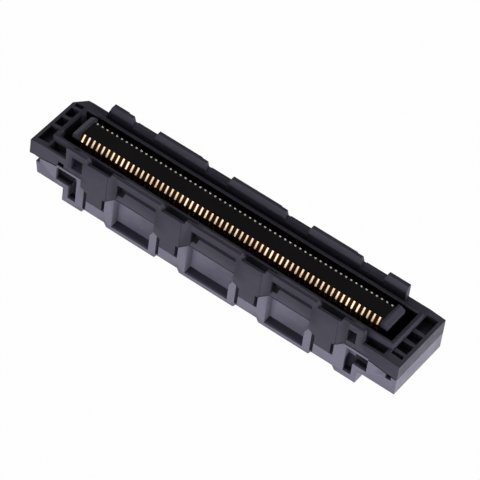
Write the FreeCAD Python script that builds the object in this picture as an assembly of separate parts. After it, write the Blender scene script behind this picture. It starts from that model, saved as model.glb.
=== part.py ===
import FreeCAD, Part
import os

# A tall two-row board-to-board connector: two black mouldings that lock together, with stamped
# contacts down both sides of a central tongue. Millimetres. X runs along the length, the mating
# side faces +Z, and the origin is the middle of the underside, on the plane of the feet.

# Contacts
pitch = 0.8
contacts_per_row = 60
row_half_length = (contacts_per_row - 1) / 2 * pitch
bank_size = 5
strip_thickness = 0.2
strip_width = 0.32
contact_face_y = 2.03
contact_tip_run = 0.68
contact_tip_y = contact_face_y - contact_tip_run
contact_proud = 0.08
tail_bend_chamfer = 0.2
groove_clearance = 0.02

# Plan, from the contact row outwards
tongue_end_margin = 1.6
tongue_half_length = row_half_length + tongue_end_margin
tongue_half_width = contact_face_y - contact_proud
tongue_top_half_width = contact_tip_y - contact_proud
tongue_shoulder_margin = 0.5
tongue_shoulder_x = row_half_length + tongue_shoulder_margin
slot_end_width = 1.4
slot_side_width = 0.97
frame_inner_x = tongue_half_length + slot_end_width
frame_inner_y = contact_face_y + slot_side_width
frame_end_thickness = 0.55
frame_side_thickness = 0.45
frame_outer_x = frame_inner_x + frame_end_thickness
frame_outer_y = frame_inner_y + frame_side_thickness
gutter_width = 0.9
wall_thickness = 0.9
half_width = frame_outer_y + gutter_width + wall_thickness
pocket_length = 1.8
end_wall = 0.52
pocket_outer_x = frame_outer_x + pocket_length
half_length = pocket_outer_x + end_wall
core_end_inset = 0.25
core_side_inset = 0.1
core_half_length = frame_outer_x - core_end_inset
core_half_width = frame_outer_y - core_side_inset
core_clearance = 0.05
wall_end_margin = 0.1
wall_end_x = row_half_length + wall_end_margin
key_corner = 1.5

# Levels of the upper housing, from the joint line
joint_z = 6.0
upper_height = 3.98
tab_top_z = joint_z + upper_height
tab_height = 0.8
wall_top_z = tab_top_z - tab_height
tongue_drop = 0.58
contact_tip_z = tab_top_z - tongue_drop
contact_lead_in = 0.87
contact_bend_z = contact_tip_z - contact_lead_in
tongue_end_bevel = 0.35
tongue_end_bevel_run = 0.7
frame_drop = 1.33
frame_top_z = tab_top_z - frame_drop
frame_lead_in = 0.12
deck_drop = 2.26
deck_z = tab_top_z - deck_drop
deck_end_drop = 0.22
deck_end_z = deck_z - deck_end_drop
pocket_floor_rise = 0.2
pocket_floor_z = joint_z + pocket_floor_rise
slot_sink = 1.4
slot_floor_z = joint_z - slot_sink
core_depth = 3.0
core_underside_z = joint_z - core_depth
joint_step_run = 1.3
joint_step_x = wall_end_x + joint_step_run
joint_step_drop = 0.35
joint_step_z = joint_z - joint_step_drop
joint_slope_drop = 0.6
joint_end_z = joint_step_z - joint_slope_drop

# Side walls of the upper housing
notch_pitches = (-23, -8, 8, 23)
notch_centres = [places * pitch for places in notch_pitches]
notch_half_width = 2.05
shoulder_run = 0.25
tab_lead_in = 0.35
notch_lead_in = 0.55
notch_lead_in_drop = 0.6
pad_left = 2.6
pad_right = 1.44
pad_relief = 0.1
rim_height = 1.08
rim_underside_z = tab_top_z - rim_height
window_start = 3.0
end_window_margin = 0.95
window_sill_rise = 0.05
end_window_sill_rise = 0.78
gutter_floor_rise = 0.9
gutter_floor_z = joint_z + gutter_floor_rise
far_window_depth = 0.65
far_end_ramp = 0.8
end_gutter_wall = 0.4
end_gutter_end_wall = 0.4
joint_notch_start = 0.2
joint_notch_length = 1.0
joint_notch_height = 0.6
joint_notch_depth = 0.5

# Latch skirts that hang from the upper housing between the posts of the base
skirt_left = 1.5
skirt_right = 0.95
skirt_slot = 0.5
skirt_shoulder_drop = 1.5
skirt_shoulder_z = joint_z - skirt_shoulder_drop
skirt_left_slope_drop = 0.6
skirt_left_z = skirt_shoulder_z - skirt_left_slope_drop
skirt_height = 2.05
skirt_underside_z = skirt_shoulder_z - skirt_height
left_slot_underside_z = 0.75
skirt_clearance = 0.05

# Pockets that thin the end blocks of the upper housing, with ribs between them
pocket_wide_margin = 0.85
pocket_corner_margin = 1.3
pocket_rib_centres = (-3.1, -0.95, 1.15)
pocket_rib_width = 0.45

# Base
base_key_step = 0.97
base_key_end_x = half_length - base_key_step
base_key_taper = 0.5
base_underside_z = 2.3
sill_underside_z = 0.65
foot_shoulder_run = 0.4
comb_underside_z = 0.9
comb_gap = 0.1
comb_top_z = core_underside_z - comb_gap
comb_end_margin = 0.8
comb_half_length = row_half_length + comb_end_margin
tail_room_widening = 0.2
tail_room_half_width = core_half_width + tail_room_widening
tail_end_clearance = 0.1
tail_end_y = tail_room_half_width - tail_end_clearance
recess_back_thickness = 0.25
recess_depth = half_width - tail_room_half_width - recess_back_thickness
recess_underside_z = 0.6
recess_start = 2.82
recess_post = 3.1
recess_post_z = 3.5
leg_window_depth = 1.15
leg_window_underside_z = 0.95
leg_window_inset = 2.1
leg_window_inner_x = wall_end_x - leg_window_inset
leg_window_post = 1.3
leg_window_post_x = leg_window_inner_x + leg_window_post
leg_window_outer_x = joint_step_x
leg_window_sill = 0.85
leg_window_sill_z = base_underside_z + leg_window_sill
leg_window_lintel_drop = 0.6
leg_window_lintel_z = joint_z - leg_window_lintel_drop
latch_hole_inset = 0.3
latch_hole_x = base_key_end_x - latch_hole_inset
latch_hole_size = 0.85
latch_hole_depth = 0.8
latch_hole_sink = 0.1

# Solder hold-downs, one in each end of the base
hold_down_thickness = 0.25
hold_down_wall = 0.5
hold_down_x = core_half_length + core_clearance + hold_down_wall
hold_down_half_width = 2.6
hold_down_foot = 1.6
hold_down_neck_half_width = 1.9
hold_down_neck_height = 1.7
hold_down_top_z = base_underside_z + hold_down_neck_height

cut_margin = 1.0

Vector = FreeCAD.Vector


def box(x0, x1, y0, y1, z0, z1):
    return Part.makeBox(x1 - x0, y1 - y0, z1 - z0, Vector(x0, y0, z0))


def prism_along_y(outline, y0, y1):
    points = [Vector(x, y0, z) for x, z in outline]
    face = Part.Face(Part.makePolygon(points + points[:1]))
    return face.extrude(Vector(0, y1 - y0, 0))


def prism_along_x(outline, x0, x1):
    points = [Vector(x0, y, z) for y, z in outline]
    face = Part.Face(Part.makePolygon(points + points[:1]))
    return face.extrude(Vector(x1 - x0, 0, 0))


def prism_up(outline, z0, z1):
    points = [Vector(x, y, z0) for x, y in outline]
    face = Part.Face(Part.makePolygon(points + points[:1]))
    return face.extrude(Vector(0, 0, z1 - z0))


def turned(shape):
    copy = shape.copy()
    copy.rotate(Vector(0, 0, 0), Vector(0, 0, 1), 180)
    return copy


def both_sides(shapes):
    return shapes + [turned(shape) for shape in shapes]


def tab_spans():
    starts = [-wall_end_x] + [centre + notch_half_width for centre in notch_centres]
    ends = [centre - notch_half_width for centre in notch_centres] + [wall_end_x]
    return list(zip(starts, ends))


# Contacts

def contact_x(index):
    return index * pitch - row_half_length


def contact_inner_y():
    return contact_face_y - strip_thickness


def slant():
    run = contact_face_y - contact_tip_y
    rise = contact_tip_z - contact_bend_z
    length = (run * run + rise * rise) ** 0.5
    return run, rise, length


def contact_outline():
    run, rise, length = slant()
    inward_y = -rise / length * strip_thickness
    inward_z = -run / length * strip_thickness
    inner_y = contact_inner_y()
    bend_drop = strip_thickness * (length - rise) / run
    return [
        (contact_face_y, tail_bend_chamfer + strip_thickness),
        (contact_face_y, contact_bend_z),
        (contact_tip_y, contact_tip_z),
        (contact_tip_y + inward_y, contact_tip_z + inward_z),
        (inner_y, contact_bend_z - bend_drop),
        (inner_y, tail_bend_chamfer),
        (inner_y + tail_bend_chamfer, 0),
        (tail_end_y, 0),
        (tail_end_y, strip_thickness),
        (contact_face_y + tail_bend_chamfer, strip_thickness),
    ]


def contact(x):
    half = strip_width / 2
    return prism_along_x(contact_outline(), x - half, x + half)


def contact_groove(x):
    run, rise, length = slant()
    inner_y = contact_inner_y() - groove_clearance
    back = strip_thickness + groove_clearance
    inward_y = -rise / length * back
    inward_z = -run / length * back
    bend_drop = back * (length - rise) / run
    past_y = run / rise * cut_margin
    outline = [
        (inner_y, core_underside_z - cut_margin),
        (contact_face_y + groove_clearance, core_underside_z - cut_margin),
        (contact_face_y + groove_clearance, contact_bend_z),
        (contact_tip_y - past_y + groove_clearance, contact_tip_z + cut_margin),
        (contact_tip_y + inward_y - past_y, contact_tip_z + inward_z + cut_margin),
        (inner_y, contact_bend_z - bend_drop),
    ]
    half = strip_width / 2
    return prism_along_x(outline, x - half, x + half)


def contact_banks():
    banks = {}
    for bank in range(contacts_per_row // bank_size):
        xs = [contact_x(bank * bank_size + place) for place in range(bank_size)]
        far = [contact(x) for x in xs]
        near = [contact(x).mirror(Vector(0, 0, 0), Vector(0, 1, 0)) for x in xs]
        banks["front_contacts_%02d" % (bank + 1)] = Part.makeCompound(near)
        banks["rear_contacts_%02d" % (bank + 1)] = Part.makeCompound(far)
    return banks


# Upper housing

def wall_top_outline():
    points = []
    for start, end in tab_spans():
        if points:
            points.append((start - shoulder_run, wall_top_z))
        points += [(start, tab_top_z), (end, tab_top_z)]
        if end < wall_end_x:
            points.append((end + shoulder_run, wall_top_z))
    return points


def skirt_outline(centre):
    return [
        (centre + window_start, joint_z),
        (centre + skirt_right + skirt_slot, skirt_shoulder_z),
        (centre + skirt_right, skirt_shoulder_z),
        (centre + skirt_right, skirt_underside_z),
        (centre - skirt_left, skirt_underside_z),
        (centre - skirt_left, skirt_left_z),
        (centre - pad_left, skirt_shoulder_z),
        (centre - pad_left, joint_z),
    ]


def side_wall():
    lower = [(wall_end_x, joint_z)]
    for centre in reversed(notch_centres):
        lower += skirt_outline(centre)
    lower.append((-wall_end_x, joint_z))
    outline = wall_top_outline() + lower
    wall = prism_along_y(outline, -half_width, -half_width + wall_thickness)
    relief = [strip_beside_pad(centre) for centre in notch_centres]
    lead_ins = [tab_lead_in_cut(start, end) for start, end in tab_spans()]
    lead_ins += [notch_lead_in_cut(centre) for centre in notch_centres]
    return wall.cut(relief + lead_ins)


def strip_beside_pad(centre):
    return box(centre + pad_right, centre + window_start, -half_width - cut_margin,
               -half_width + pad_relief, skirt_shoulder_z - cut_margin, tab_top_z + cut_margin)


def tab_lead_in_cut(start, end):
    inner_y = -half_width + wall_thickness
    rise = tab_top_z - wall_top_z
    steep = rise / tab_lead_in
    outline = [
        (inner_y - tab_lead_in - cut_margin / steep, tab_top_z + cut_margin),
        (inner_y, wall_top_z),
        (inner_y + cut_margin, wall_top_z),
        (inner_y + cut_margin, tab_top_z + cut_margin),
    ]
    return prism_along_x(outline, start - shoulder_run, end + shoulder_run)


def notch_lead_in_cut(centre):
    inner_y = -half_width + wall_thickness
    half = notch_half_width - shoulder_run
    outline = [
        (inner_y - notch_lead_in, tab_top_z),
        (inner_y - notch_lead_in, wall_top_z),
        (inner_y, wall_top_z - notch_lead_in_drop),
        (inner_y + cut_margin, wall_top_z - notch_lead_in_drop),
        (inner_y + cut_margin, tab_top_z),
    ]
    return prism_along_x(outline, centre - half, centre + half)


def window_spans():
    starts = [-wall_end_x + end_window_margin] + [centre + window_start for centre in notch_centres]
    ends = [centre - pad_left for centre in notch_centres] + [wall_end_x - end_window_margin]
    return list(zip(starts, ends))


def wall_window(start, end, depth):
    at_end = start < notch_centres[0] or end > notch_centres[-1]
    sill_rise = end_window_sill_rise if at_end else window_sill_rise
    slope = (gutter_floor_rise - sill_rise) / (half_width - frame_outer_y)
    outline = [
        (-half_width - cut_margin, joint_z + sill_rise - slope * cut_margin),
        (-half_width + depth, joint_z + sill_rise + slope * depth),
        (-half_width + depth, rim_underside_z),
        (-half_width - cut_margin, rim_underside_z),
    ]
    return prism_along_x(outline, start, end)


def wall_windows():
    near_depth = half_width - frame_outer_y
    near = [wall_window(start, end, near_depth) for start, end in window_spans()]
    far = [turned(wall_window(start, end, far_window_depth)) for start, end in window_spans()]
    return near + far


def gutter_floor():
    return box(-wall_end_x, wall_end_x, -half_width + pad_relief, -core_half_width,
               joint_z, gutter_floor_z)


# The far wall runs down to the left end block in a slope
def far_wall_ramp():
    outline = [
        (-wall_end_x, deck_z),
        (-wall_end_x, tab_top_z),
        (-wall_end_x - far_end_ramp, deck_z),
    ]
    return prism_along_y(outline, half_width - wall_thickness, half_width)


def end_block(side):
    outline = [
        (wall_end_x, joint_z),
        (joint_step_x, joint_z),
        (joint_step_x, joint_step_z),
        (half_length, joint_end_z),
        (half_length, deck_end_z),
        (frame_outer_x, deck_z),
        (wall_end_x, deck_z),
    ]
    return prism_along_y([(side * x, z) for x, z in outline], -half_width, half_width)


def key_corner_cut():
    x = -half_length - cut_margin
    y = half_width + cut_margin
    leg = key_corner + 2 * cut_margin
    return prism_up([(x, y), (x, y - leg), (x + leg, y)], -cut_margin, deck_z + cut_margin)


def end_pockets():
    top = deck_z + cut_margin
    half = pocket_rib_width / 2
    room = box(frame_outer_x, pocket_outer_x, -half_width + pocket_corner_margin,
               half_width - pocket_wide_margin, pocket_floor_z, top)
    ribs = [box(frame_outer_x, pocket_outer_x, y - half, y + half, pocket_floor_z, top)
            for y in pocket_rib_centres]
    return room.cut(ribs)


def end_gutter(side):
    xs = sorted((side * wall_end_x, side * (frame_outer_x - end_gutter_end_wall)))
    return box(xs[0], xs[1], -half_width + end_gutter_wall, -frame_outer_y, pocket_floor_z,
               deck_z + cut_margin)


def joint_notch():
    end = -wall_end_x - joint_notch_start
    return box(end - joint_notch_length, end, -half_width - cut_margin,
               -half_width + joint_notch_depth, joint_z, joint_z + joint_notch_height)


def lead_in_outline(inner):
    flare = frame_lead_in + cut_margin
    return [
        (-inner, frame_top_z - frame_lead_in),
        (inner, frame_top_z - frame_lead_in),
        (inner + flare, frame_top_z + cut_margin),
        (-inner - flare, frame_top_z + cut_margin),
    ]


def mating_slot():
    slot = box(-frame_inner_x, frame_inner_x, -frame_inner_y, frame_inner_y, slot_floor_z,
               contact_tip_z + cut_margin)
    along = prism_along_x(lead_in_outline(frame_inner_y), -half_length, half_length)
    across = prism_along_y(lead_in_outline(frame_inner_x), -half_width, half_width)
    return slot.fuse(along.common(across)).cut(tongue())


def tongue():
    outline = [
        (-tongue_half_width, slot_floor_z),
        (-tongue_half_width, contact_bend_z),
        (-tongue_top_half_width, contact_tip_z),
        (tongue_top_half_width, contact_tip_z),
        (tongue_half_width, contact_bend_z),
        (tongue_half_width, slot_floor_z),
    ]
    blade = prism_along_x(outline, -tongue_half_length, tongue_half_length)
    shoulder = box(tongue_shoulder_x, tongue_half_length, -tongue_half_width, tongue_half_width,
                   contact_bend_z, contact_tip_z)
    bevels = [tongue_bevel(side) for side in (-1, 1)]
    return blade.fuse(both_sides([shoulder])).cut(bevels)


def tongue_bevel(side):
    end = side * tongue_half_length
    inside = end - side * tongue_end_bevel_run
    outline = [
        (end, contact_tip_z - tongue_end_bevel),
        (inside, contact_tip_z),
        (inside, contact_tip_z + cut_margin),
        (end + side * cut_margin, contact_tip_z + cut_margin),
        (end + side * cut_margin, contact_tip_z - tongue_end_bevel),
    ]
    return prism_along_y(outline, -half_width, half_width)


def upper_housing():
    core = box(-core_half_length, core_half_length, -core_half_width, core_half_width,
               core_underside_z, joint_z)
    frame = box(-frame_outer_x, frame_outer_x, -frame_outer_y, frame_outer_y, joint_z, frame_top_z)
    blocks = [end_block(side) for side in (-1, 1)]
    sides = both_sides([side_wall(), gutter_floor()])
    body = core.fuse([frame, tongue_blank(), far_wall_ramp()] + blocks + sides)
    pockets = both_sides([end_pockets()]) + [end_gutter(side) for side in (-1, 1)]
    body = body.cut([mating_slot(), key_corner_cut(), joint_notch()] + pockets + wall_windows())
    grooves = [contact_groove(contact_x(index)) for index in range(contacts_per_row)]
    body = body.cut(both_sides(grooves))
    return body.removeSplitter()


def tongue_blank():
    return box(-tongue_half_length, tongue_half_length, -tongue_half_width, tongue_half_width,
               slot_floor_z, contact_tip_z)


# Base housing

def base_outline():
    feet = []
    for start, end in tab_spans():
        if feet:
            feet.append((start - foot_shoulder_run, sill_underside_z))
        feet += [(start, 0), (end, 0)]
        if end < wall_end_x:
            feet.append((end + foot_shoulder_run, sill_underside_z))
    key_end = [
        (-joint_step_x, joint_z),
        (-joint_step_x, joint_step_z),
        (-base_key_end_x, joint_height(base_key_end_x)),
        (-base_key_end_x + base_key_taper, base_underside_z),
        (-wall_end_x, base_underside_z),
    ]
    plain_end = [
        (wall_end_x, base_underside_z),
        (half_length, base_underside_z),
        (half_length, joint_end_z),
        (joint_step_x, joint_step_z),
        (joint_step_x, joint_z),
    ]
    return key_end + feet + plain_end


def joint_height(x):
    slope = (joint_step_z - joint_end_z) / (half_length - joint_step_x)
    return joint_step_z - (x - joint_step_x) * slope


def skirt_pocket(centre):
    left_post = skirt_left + skirt_slot
    left_post_z = skirt_left_z + skirt_left_slope_drop * skirt_slot / (pad_left - skirt_left)
    outline = [
        (centre + window_start, joint_z),
        (centre + skirt_right + skirt_slot, skirt_shoulder_z),
        (centre + skirt_right + skirt_slot, skirt_underside_z),
        (centre - skirt_left, skirt_underside_z),
        (centre - skirt_left, left_slot_underside_z),
        (centre - left_post, left_slot_underside_z),
        (centre - left_post, left_post_z),
        (centre - pad_left, skirt_shoulder_z),
        (centre - pad_left, joint_z + cut_margin),
        (centre, joint_z + cut_margin),
    ]
    return prism_along_y(outline, -half_width - cut_margin, -half_width + wall_thickness + skirt_clearance)


def bay_recess(left_notch, right_notch):
    top = joint_z + cut_margin
    start = left_notch + recess_start
    outline = [
        (start, recess_underside_z),
        (right_notch - recess_post, recess_underside_z),
        (right_notch - recess_post, recess_post_z),
        (right_notch - pad_left, skirt_shoulder_z),
        (right_notch - pad_left, top),
        (start, top),
    ]
    return prism_along_y(outline, -half_width - cut_margin, -half_width + recess_depth)


def base_recesses():
    bays = zip(notch_centres[:-1], notch_centres[1:])
    return [bay_recess(left_notch, right_notch) for left_notch, right_notch in bays]


def leg_window(side):
    outline = [
        (leg_window_inner_x, leg_window_underside_z),
        (leg_window_post_x, leg_window_underside_z),
        (leg_window_post_x, leg_window_sill_z),
        (leg_window_outer_x, leg_window_sill_z),
        (leg_window_outer_x, leg_window_lintel_z),
        (leg_window_inner_x, leg_window_lintel_z),
    ]
    return prism_along_y([(side * x, z) for x, z in outline], -half_width - cut_margin,
                         -half_width + leg_window_depth)


def latch_hole(side):
    z1 = joint_height(latch_hole_x) - latch_hole_sink
    x = side * latch_hole_x
    half = latch_hole_size / 2
    return box(x - half, x + half, -half_width - cut_margin, -half_width + latch_hole_depth,
               z1 - latch_hole_size, z1)


def base_housing():
    comb = box(-comb_half_length, comb_half_length, -tail_room_half_width, tail_room_half_width,
               comb_underside_z, comb_top_z)
    body = prism_along_y(base_outline(), -half_width, half_width).fuse(comb)
    core_x = core_half_length + core_clearance
    core_y = core_half_width + core_clearance
    cavity = box(-core_x, core_x, -core_y, core_y, comb_top_z, joint_z + cut_margin)
    tail_room = box(-comb_half_length, comb_half_length, -tail_room_half_width,
                    tail_room_half_width, -cut_margin, comb_underside_z)
    cuts = [skirt_pocket(centre) for centre in notch_centres] + base_recesses()
    for side in (-1, 1):
        cuts += [leg_window(side), latch_hole(side)]
    legs = [contact_leg_slot(contact_x(index)) for index in range(contacts_per_row)]
    necks = [hold_down_neck(side) for side in (-1, 1)]
    body = body.cut([cavity, tail_room, key_corner_cut()] + both_sides(cuts) + necks)
    body = body.cut(both_sides(legs))
    return body.removeSplitter()


def contact_leg_slot(x):
    half = strip_width / 2
    return box(x - half, x + half, contact_inner_y() - groove_clearance, contact_face_y + groove_clearance,
               comb_underside_z - cut_margin, comb_top_z + cut_margin)


# Hold-downs

def hold_down_neck(side):
    x = side * hold_down_x
    half = hold_down_thickness / 2
    neck = hold_down_neck_half_width
    return box(x - half, x + half, -neck, neck, base_underside_z, hold_down_top_z)


def hold_down(side):
    x = side * hold_down_x
    half = hold_down_thickness / 2
    width = hold_down_half_width
    shank = box(x - half, x + half, -width, width, 0, base_underside_z)
    outer = x + side * half
    xs = sorted((outer, outer - side * hold_down_foot))
    foot = box(xs[0], xs[1], -width, width, 0, hold_down_thickness)
    return shank.fuse([hold_down_neck(side), foot]).removeSplitter()


def main():
    nodes = {
        "upper_housing": upper_housing(),
        "base_housing": base_housing(),
        "left_hold_down": hold_down(-1),
        "right_hold_down": hold_down(1),
    }
    nodes.update(contact_banks())
    os.makedirs("parts", exist_ok=True)
    for name, shape in nodes.items():
        shape.exportStep("parts/%s.step" % name)


main()
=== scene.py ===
import math

import bpy
from mathutils import Euler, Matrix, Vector

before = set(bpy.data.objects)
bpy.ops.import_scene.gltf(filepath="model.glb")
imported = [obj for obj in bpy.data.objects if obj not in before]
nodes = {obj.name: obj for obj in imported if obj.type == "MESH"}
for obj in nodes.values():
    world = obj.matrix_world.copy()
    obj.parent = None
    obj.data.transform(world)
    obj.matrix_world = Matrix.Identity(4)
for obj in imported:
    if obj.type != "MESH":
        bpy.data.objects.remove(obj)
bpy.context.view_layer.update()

SCENE = bpy.context.scene
MM = 0.001

# Places on the part, in millimetres from its middle and up from the board. A room is its limits
# along x, y and z. It counts at both ends, and on both long sides unless it is used near_only.

CONTACT_PITCH = 0.8
WINDOWS = ((-15.4, -9.0), (-3.4, 3.8), (9.4, 15.8))
WINDOW_CORNERS = tuple((low - 0.2, low + 0.7) for low, high in WINDOWS)
SLOT_HALF_X, ROW_HALF_X, SLOT_HALF_Y = 26.6, 24.1, 3.02
SLOT_RIM_Z = 8.4
BETWEEN_CONTACTS = ((0.0, ROW_HALF_X), (1.3, 2.12), (7.2, 9.75))
GUTTER_SIDES = ((0.0, 24.0), (3.9, 4.95), (6.35, 8.2))
GUTTER_FLOOR = ((0.0, 24.0), (4.0, 5.22), (6.03, 7.0))
FOOT_ROOM = ((21.55, 22.87), (4.05, 5.15), (0.93, 3.4))
CORNER_ROOM = ((22.6, 25.02), (4.05, 5.15), (3.0, 4.95))
LATCH_HOLE = ((27.74, 28.66), (4.4, 5.15), (4.2, 5.4))
LEDGE = ((0.0, 21.4), (3.6, 5.1), (0.5, 0.68))

# Tones of those places. The first six paint shade, light and a reflection onto the surfaces

# Painted shade for the slot below its rim, the tongue top and the window corners
SHADE_BLACK = (0.0046, 0.0037, 0.0037)
# Painted reflection of the gold plating on the plastic between contacts
GOLD_REFLECTION = (0.030, 0.010, 0.002)
# Painted light: a paler gutter floor behind the windows, lifting the shadow under the wall
FILL_LIGHT_GREY = (0.104, 0.098, 0.129)
# Painted shade in the gap along the joint between the two mouldings
JOINT_SHADE = (0.003, 0.003, 0.004)
# Painted shade on the ledges by the board
LEDGE_SHADE = (0.020, 0.018, 0.026)
# Painted shade deep in the leg windows and latch holes
ROOM_SHADE = (0.008, 0.007, 0.010)
SHEARED_GREY = (0.22, 0.22, 0.23)
WHITE = (1, 1, 1, 1)

# Most of a noise's values lie between these
NOISE_MIDDLE = (0.3, 0.7)

# Lights: name, place, height of the point over the board they face, size, power. Metres and watts.
# The back and left ones are for the sides that the photograph doesn't show.

LIGHTS = (
    ("key", (-0.17, -0.44, 0.2), 0.009, (0.34, 0.24), 0.15),
    ("front", (0.05, -0.55, 0.06), 0.004, (0.6, 0.1), 2.4),
    ("end", (0.55, -0.06, 0.06), 0.004, (0.3, 0.1), 3.2),
    ("top", (-0.2, -0.18, 0.5), 0.005, (0.3, 0.3), 0.35),
    ("back", (-0.05, 0.55, 0.06), 0.004, (0.6, 0.1), 1.3),
    ("left", (-0.55, 0.06, 0.06), 0.004, (0.3, 0.1), 0.6),
)
WORLD_STRENGTH = 0.16
FLOOR_HALF = 1.2
FLOOR_GAP_MM = 0.02
FLOOR_CAMERA_SHARE = 0.98

# The camera fitted to the photograph

CAMERA_PLACE = (0.157490, -0.272240, 0.354369)
CAMERA_DEGREES = (41.70792, -5.74101, 36.30323)
LENS_MM, SENSOR_MM = 272.83, 36.0


# Shader helpers

class Shader:
    """Builds one node material, with short names for the nodes it needs."""

    def __init__(self, name):
        self.material = bpy.data.materials.new(name)
        self.material.use_nodes = True
        self.tree = self.material.node_tree
        self.tree.nodes.clear()
        self.output = self.new("ShaderNodeOutputMaterial")
        self.surface = self.new("ShaderNodeBsdfPrincipled")
        self.link(self.surface.outputs["BSDF"], self.output.inputs["Surface"])
        self.place = self.new("ShaderNodeTexCoord").outputs["Object"]
        self.x, self.y, self.z = self.split(self.place)

    def new(self, kind):
        return self.tree.nodes.new(kind)

    def link(self, a, b):
        self.tree.links.new(a, b)

    def split(self, vector):
        node = self.new("ShaderNodeSeparateXYZ")
        self.link(vector, node.inputs["Vector"])
        return node.outputs["X"], node.outputs["Y"], node.outputs["Z"]

    def set(self, **values):
        """Sets sockets of the surface to constants, such as specular_ior_level."""
        for name, value in values.items():
            socket = name.replace("_", " ").title().replace("Ior", "IOR")
            self.surface.inputs[socket].default_value = value

    def noise(self, per_mm, detail=3.0, roughness=0.5, stretch=(1, 1, 1)):
        mapping = self.new("ShaderNodeMapping")
        mapping.inputs["Scale"].default_value = stretch
        self.link(self.place, mapping.inputs["Vector"])
        node = self.new("ShaderNodeTexNoise")
        node.inputs["Scale"].default_value = per_mm / MM
        node.inputs["Detail"].default_value = detail
        node.inputs["Roughness"].default_value = roughness
        self.link(mapping.outputs["Vector"], node.inputs["Vector"])
        return node.outputs["Fac"]

    def ramp(self, value, low_colour, high_colour):
        """From one colour to the other over the middle of a noise."""
        node = self.new("ShaderNodeValToRGB")
        stops = zip(node.color_ramp.elements, NOISE_MIDDLE, (low_colour, high_colour))
        for element, position, colour in stops:
            element.position = position
            element.color = (*colour, 1)
        self.link(value, node.inputs["Fac"])
        return node.outputs["Color"]

    def span(self, value, low, high, new_low, new_high):
        node = self.new("ShaderNodeMapRange")
        node.inputs["From Min"].default_value = low
        node.inputs["From Max"].default_value = high
        node.inputs["To Min"].default_value = new_low
        node.inputs["To Max"].default_value = new_high
        self.link(value, node.inputs["Value"])
        return node.outputs["Result"]

    def mix(self, factor, a, b):
        node = self.new("ShaderNodeMix")
        node.data_type = "RGBA"
        share, first, second = node.inputs[0], node.inputs[6], node.inputs[7]
        self.link(factor, share)
        for socket, value in ((first, a), (second, b)):
            if isinstance(value, tuple):
                socket.default_value = (*value, 1)
            else:
                self.link(value, socket)
        return node.outputs[2]

    def bump(self, heights):
        """Stacks bumps: each is a value, a strength and a depth in millimetres."""
        normal = None
        for value, strength, depth in heights:
            node = self.new("ShaderNodeBump")
            node.inputs["Strength"].default_value = strength
            node.inputs["Distance"].default_value = depth * MM
            self.link(value, node.inputs["Height"])
            if normal is not None:
                self.link(normal, node.inputs["Normal"])
            normal = node.outputs["Normal"]
        self.link(normal, self.surface.inputs["Normal"])

    def pale_edges(self):
        """High on the sharp outer edges, from how much the surface turns."""
        return self.new("ShaderNodeNewGeometry").outputs["Pointiness"]

    def math(self, operation, a, b=0.0):
        node = self.new("ShaderNodeMath")
        node.operation = operation
        for socket, value in zip(node.inputs, (a, b)):
            if isinstance(value, (int, float)):
                socket.default_value = value
            else:
                self.link(value, socket)
        return node.outputs["Value"]

    def times(self, a, b):
        return self.math("MULTIPLY", a, b)

    def most(self, a, b):
        return self.math("MAXIMUM", a, b)

    def size_of(self, value):
        return self.math("ABSOLUTE", value)

    def inside(self, half_x_mm, half_y_mm, fade_mm):
        """One within a rectangle around the middle in plan, and nothing beyond it."""
        shares = []
        for value, half in ((self.x, half_x_mm), (self.y, half_y_mm)):
            edge = (half - fade_mm) * MM, half * MM
            shares.append(self.span(self.size_of(value), *edge, 1.0, 0.0))
        return self.times(*shares)

    def below(self, height_mm, fade_mm):
        """One under a level above the board, and nothing over it."""
        return self.span(self.z, (height_mm - fade_mm) * MM, height_mm * MM, 1.0, 0.0)

    def within(self, value, low_mm, high_mm):
        above = self.math("GREATER_THAN", value, low_mm * MM)
        return self.times(above, self.math("LESS_THAN", value, high_mm * MM))

    def along(self, spans_mm):
        """One over each of the spans given along the row."""
        total = 0.0
        for low, high in spans_mm:
            total = self.math("ADD", total, self.within(self.x, low, high))
        return total

    def recess(self, room, fade_mm, near_only=False):
        """Grows from nothing at a room's outer face to one at fade_mm inside it."""
        x_mm, y_mm, z_mm = room
        across = self.times(self.y, -1.0) if near_only else self.size_of(self.y)
        share = self.within(self.size_of(self.x), *x_mm)
        for value, limits in ((across, y_mm), (self.z, z_mm)):
            share = self.times(share, self.within(value, *limits))
        face = y_mm[1]
        deep = self.span(across, (face - fade_mm) * MM, face * MM, 1.0, 0.0)
        return self.times(share, deep)

    def seam(self, level_mm, step_x_mm, step_mm, slope, width_mm, fade_mm, end_x_mm):
        """One along the top edge of the base, where the two mouldings meet: painted shade for the
        gap between them.

        Beyond step_x_mm the joint steps down by step_mm and then falls with the slope.
        """
        away = self.size_of(self.x)
        beyond = self.math("SUBTRACT", away, step_x_mm * MM)
        fall = self.times(self.most(beyond, 0.0), slope)
        stepped = self.times(self.math("GREATER_THAN", beyond, 0.0), step_mm * MM)
        rise = self.math("ADD", self.z, self.math("ADD", fall, stepped))
        start = level_mm - width_mm
        edge = self.span(rise, (start - fade_mm) * MM, start * MM, 0.0, 1.0)
        return self.times(edge, self.math("LESS_THAN", away, end_x_mm * MM))

    def highlight_band(self, half_mm, fade_mm):
        """One down the middle of every contact, a painted highlight; beside it the sides get
        painted shade.
        """
        pitches = self.times(self.x, 1 / (CONTACT_PITCH * MM))
        away = self.math("PINGPONG", self.math("ADD", pitches, 0.5), 0.5)
        edge = (half_mm - fade_mm) / CONTACT_PITCH, half_mm / CONTACT_PITCH
        return self.span(away, *edge, 1.0, 0.0)

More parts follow.
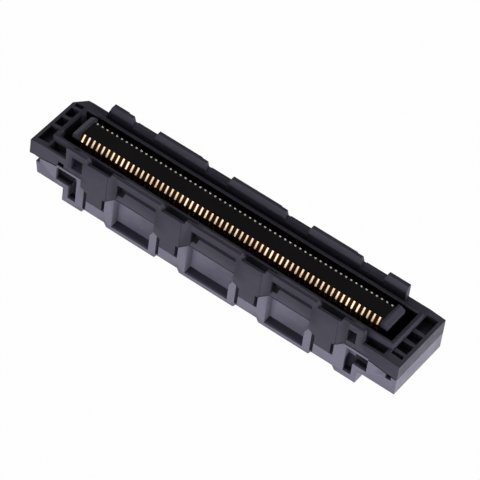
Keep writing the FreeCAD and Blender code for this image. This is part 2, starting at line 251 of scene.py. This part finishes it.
    def cut_ends(self):
        """One on the sheared ends of the strips, whose faces lean back over the tongue."""
        normal = self.new("ShaderNodeTexCoord").outputs["Normal"]
        turn_y, turn_z = self.split(normal)[1:]
        outward = self.times(self.math("SIGN", self.y), turn_y)
        leaning = self.span(outward, -0.45, -0.25, 1.0, 0.0)
        upward = self.span(turn_z, 0.3, 0.5, 0.0, 1.0)
        return self.times(leaning, upward)

    def gloss_between(self, share, gloss, dull_gloss):
        """The gloss of the surface, down to the dull one where the share is one."""
        level = self.span(share, 0.0, 1.0, gloss, dull_gloss)
        self.link(level, self.surface.inputs["Specular IOR Level"])


# Materials

def shade_upper(s, colour, gloss):
    """Painted shade in the upper housing's slot, on its tongue and in the window corners, a
    painted gold reflection between contacts, and painted light on the gutters.
    """
    # Painted shade: the slot below its rim and the tongue top are darkened and made duller
    slot = s.inside(SLOT_HALF_X, SLOT_HALF_Y, fade_mm=0.02)
    under_rim = s.times(slot, s.below(SLOT_RIM_Z, fade_mm=0.1))
    slot_shade = s.most(under_rim, s.inside(ROW_HALF_X, SLOT_HALF_Y, fade_mm=0.02))
    colour = s.mix(slot_shade, colour, SHADE_BLACK)
    # Painted reflection of the gold contacts on the plastic between them
    colour = s.mix(s.recess(BETWEEN_CONTACTS, fade_mm=0.1), colour, GOLD_REFLECTION)
    sides = s.recess(GUTTER_SIDES, fade_mm=0.1, near_only=True)
    corners = s.times(sides, s.along(WINDOW_CORNERS))
    # Painted light on the gutter floor seen through the windows, in place of the wall's shadow
    floor_light = s.recess(GUTTER_FLOOR, fade_mm=0.1, near_only=True)
    colour = s.mix(s.times(floor_light, s.along(WINDOWS)), colour, FILL_LIGHT_GREY)
    # Painted shadow in the upper corner of each window, cast by its side
    colour = s.mix(s.times(corners, 0.9), colour, SHADE_BLACK)
    s.gloss_between(slot_shade, gloss, dull_gloss=0.03)
    return colour


def shade_base(s, colour, gloss):
    """Painted shade on the base: its joint line, the depths of its leg windows and latch holes,
    and the ledges by the board.
    """
    seam = s.seam(level_mm=6.0, step_x_mm=25.0, step_mm=0.35, slope=0.134,
                  width_mm=0.16, fade_mm=0.04, end_x_mm=29.3)
    # Painted shade along the joint between the mouldings
    colour = s.mix(seam, colour, JOINT_SHADE)
    foot_room, corner_room = (s.recess(room, fade_mm=0.5) for room in (FOOT_ROOM, CORNER_ROOM))
    shaded_rooms = s.most(s.most(foot_room, corner_room), s.recess(LATCH_HOLE, fade_mm=0.4))
    # Painted shade on the ledges by the board
    colour = s.mix(s.times(s.recess(LEDGE, fade_mm=0.3), 0.7), colour, LEDGE_SHADE)
    # Painted shade deep in the leg windows and latch holes
    colour = s.mix(s.times(shaded_rooms, 0.9), colour, ROOM_SHADE)
    # Duller too in the painted joint shade and the painted shade of the rooms
    s.gloss_between(s.most(seam, s.times(shaded_rooms, 0.85)), gloss, dull_gloss=0.05)
    return colour


def moulded_plastic(name, dark, light, rough, gloss, shade):
    """Satin glass-filled moulding: flow mottling, fibre specks, fine grain and paler sharp edges.
    """
    s = Shader(name)
    mottle = s.noise(0.18, detail=4.0, roughness=0.6, stretch=(0.35, 1, 1))
    flow = s.noise(0.9, stretch=(0.25, 1, 1))
    grain = s.noise(14.0, detail=2.0, roughness=0.6)
    fibre = s.noise(7.0, detail=2.0, stretch=(0.12, 1, 1))
    pale = tuple(min(1.0, c * 1.7 + 0.01) for c in light)
    colour = s.mix(s.span(fibre, 0.58, 0.72, 0.0, 0.35), s.ramp(mottle, dark, light), pale)
    # Paler on the sharp outer edges
    colour = s.mix(s.span(s.pale_edges(), 0.52, 0.6, 0.0, 0.45), colour, pale)
    s.link(shade(s, colour, gloss), s.surface.inputs["Base Color"])
    roughness = s.span(flow, *NOISE_MIDDLE, rough - 0.06, rough + 0.08)
    s.link(roughness, s.surface.inputs["Roughness"])
    s.set(ior=1.58, specular_ior_level=gloss, specular_tint=(0.92, 0.89, 1.0, 1.0))
    s.bump([(grain, 0.28, 0.012), (flow, 0.2, 0.02)])
    return s.material


def plating(name, bright, deep, rough, flanks=None):
    """Plated strip: rolling lines, uneven plating, and on contacts a painted highlight down the
    middle, painted shade on the sides and duller cut ends.
    """
    s = Shader(name)
    rolled = s.noise(10.0, detail=2.0, stretch=(1, 0.12, 0.12))
    patches = s.noise(0.8, roughness=0.6)
    grain = s.noise(22.0, detail=2.0)
    colour = s.ramp(patches, deep, bright)
    if flanks is not None:
        # Painted highlight down each contact's middle, painted shade in dark brown on its sides
        colour = s.mix(s.highlight_band(half_mm=0.15, fade_mm=0.07), flanks, colour)
        colour = s.mix(s.cut_ends(), colour, SHEARED_GREY)
    s.link(colour, s.surface.inputs["Base Color"])
    roughness = s.span(rolled, *NOISE_MIDDLE, rough - 0.05, rough + 0.1)
    s.link(roughness, s.surface.inputs["Roughness"])
    s.set(metallic=1.0)
    s.bump([(rolled, 0.15, 0.002), (grain, 0.12, 0.002)])
    return s.material


def white_when_seen(tree, soft, kind, camera_share, output):
    """White to camera, glossy and transmission rays, and the soft shader to all other light."""
    white = tree.nodes.new(kind)
    white.inputs["Color"].default_value = WHITE
    white.inputs["Strength"].default_value = 1.0
    path = tree.nodes.new("ShaderNodeLightPath")
    seen = tree.nodes.new("ShaderNodeMath")
    seen.operation = "MULTIPLY"
    seen.inputs[1].default_value = camera_share
    tree.links.new(path.outputs["Is Camera Ray"], seen.inputs[0])
    share = seen.outputs["Value"]
    for ray in ("Is Glossy Ray", "Is Transmission Ray"):
        most = tree.nodes.new("ShaderNodeMath")
        most.operation = "MAXIMUM"
        tree.links.new(share, most.inputs[0])
        tree.links.new(path.outputs[ray], most.inputs[1])
        share = most.outputs["Value"]
    blend = tree.nodes.new("ShaderNodeMixShader")
    for a, b in zip((share, soft, white.outputs[0]), blend.inputs):
        tree.links.new(a, b)
    tree.links.new(blend.outputs["Shader"], output.inputs["Surface"])


def pale_floor(name):
    """A plain pale floor that keeps the part's soft shadow."""
    s = Shader(name)
    grain = s.noise(0.05, detail=2.0)
    colour = s.ramp(grain, (0.86, 0.86, 0.87), (0.9, 0.9, 0.91))
    s.link(colour, s.surface.inputs["Base Color"])
    s.set(roughness=0.9, specular_ior_level=0.1)
    white_when_seen(s.tree, s.surface.outputs["BSDF"], "ShaderNodeEmission",
                    FLOOR_CAMERA_SHARE, s.output)
    return s.material


# Crisp moulded edges on the solids from the CAD

def soften(obj, width_mm):
    weld = obj.modifiers.new("weld", "WELD")
    weld.merge_threshold = 0.002 * MM
    planar = obj.modifiers.new("planar", "DECIMATE")
    planar.decimate_type = "DISSOLVE"
    planar.angle_limit = math.radians(1)
    bevel = obj.modifiers.new("bevel", "BEVEL")
    bevel.width = width_mm * MM
    bevel.segments = 2
    bevel.limit_method = "ANGLE"
    bevel.angle_limit = math.radians(28)
    bevel.harden_normals = False


def dress(obj, material):
    obj.data.materials.clear()
    obj.data.materials.append(material)
    for polygon in obj.data.polygons:
        polygon.use_smooth = False


upper = moulded_plastic("upper_plastic", dark=(0.024, 0.022, 0.032), light=(0.036, 0.033, 0.047),
                        rough=0.37, gloss=0.07, shade=shade_upper)
base = moulded_plastic("base_plastic", dark=(0.074, 0.069, 0.098), light=(0.110, 0.103, 0.140),
                       rough=0.38, gloss=0.18, shade=shade_base)
# The flanks colour is painted shade on the contacts' sides
gold = plating("contact_plating", bright=(0.80, 0.68, 0.52), deep=(0.70, 0.54, 0.36),
               rough=0.26, flanks=(0.26, 0.11, 0.04))
tin = plating("hold_down_plating", bright=(0.66, 0.57, 0.41), deep=(0.52, 0.43, 0.28), rough=0.42)

# Part of a node's name, the width of its softened edges in millimetres, and its material
FINISHES = (
    ("upper_housing", 0.07, upper),
    ("base_housing", 0.08, base),
    ("hold_down", 0.04, tin),
    ("contacts", 0.02, gold),
)

for name, obj in nodes.items():
    for part_of_name, width_mm, material in FINISHES:
        if part_of_name in name:
            soften(obj, width_mm)
            dress(obj, material)


# Floor, light and camera

def build_floor():
    mesh = bpy.data.meshes.new("floor")
    around = ((-1, -1), (1, -1), (1, 1), (-1, 1))
    corners = [(x * FLOOR_HALF, y * FLOOR_HALF, -FLOOR_GAP_MM * MM) for x, y in around]
    mesh.from_pydata(corners, [], [(0, 1, 2, 3)])
    obj = bpy.data.objects.new("floor", mesh)
    SCENE.collection.objects.link(obj)
    mesh.materials.append(pale_floor("floor"))


def area_light(name, place, target_height, size, power):
    data = bpy.data.lights.new(name, "AREA")
    data.shape = "RECTANGLE"
    data.size, data.size_y = size
    data.energy = power
    obj = bpy.data.objects.new(name, data)
    SCENE.collection.objects.link(obj)
    obj.location = place
    facing = Vector((0, 0, target_height)) - Vector(place)
    obj.rotation_euler = facing.to_track_quat("-Z", "Y").to_euler()


def world_light():
    world = bpy.data.worlds.new("studio")
    SCENE.world = world
    world.use_nodes = True
    tree = world.node_tree
    tree.nodes.clear()
    output = tree.nodes.new("ShaderNodeOutputWorld")
    soft = tree.nodes.new("ShaderNodeBackground")
    soft.inputs["Color"].default_value = (0.92, 0.94, 1.0, 1)
    soft.inputs["Strength"].default_value = WORLD_STRENGTH
    white_when_seen(tree, soft.outputs["Background"], "ShaderNodeBackground", 1.0, output)


def build_camera():
    data = bpy.data.cameras.new("camera")
    data.sensor_fit = "HORIZONTAL"
    data.sensor_width = SENSOR_MM
    data.lens = LENS_MM
    data.clip_start = 0.01
    data.clip_end = 10.0
    camera = bpy.data.objects.new("camera", data)
    SCENE.collection.objects.link(camera)
    camera.location = CAMERA_PLACE
    camera.rotation_euler = Euler([math.radians(a) for a in CAMERA_DEGREES], "XYZ")
    SCENE.camera = camera


build_floor()
world_light()
for light in LIGHTS:
    area_light(*light)
build_camera()
SCENE.view_settings.view_transform = "Standard"
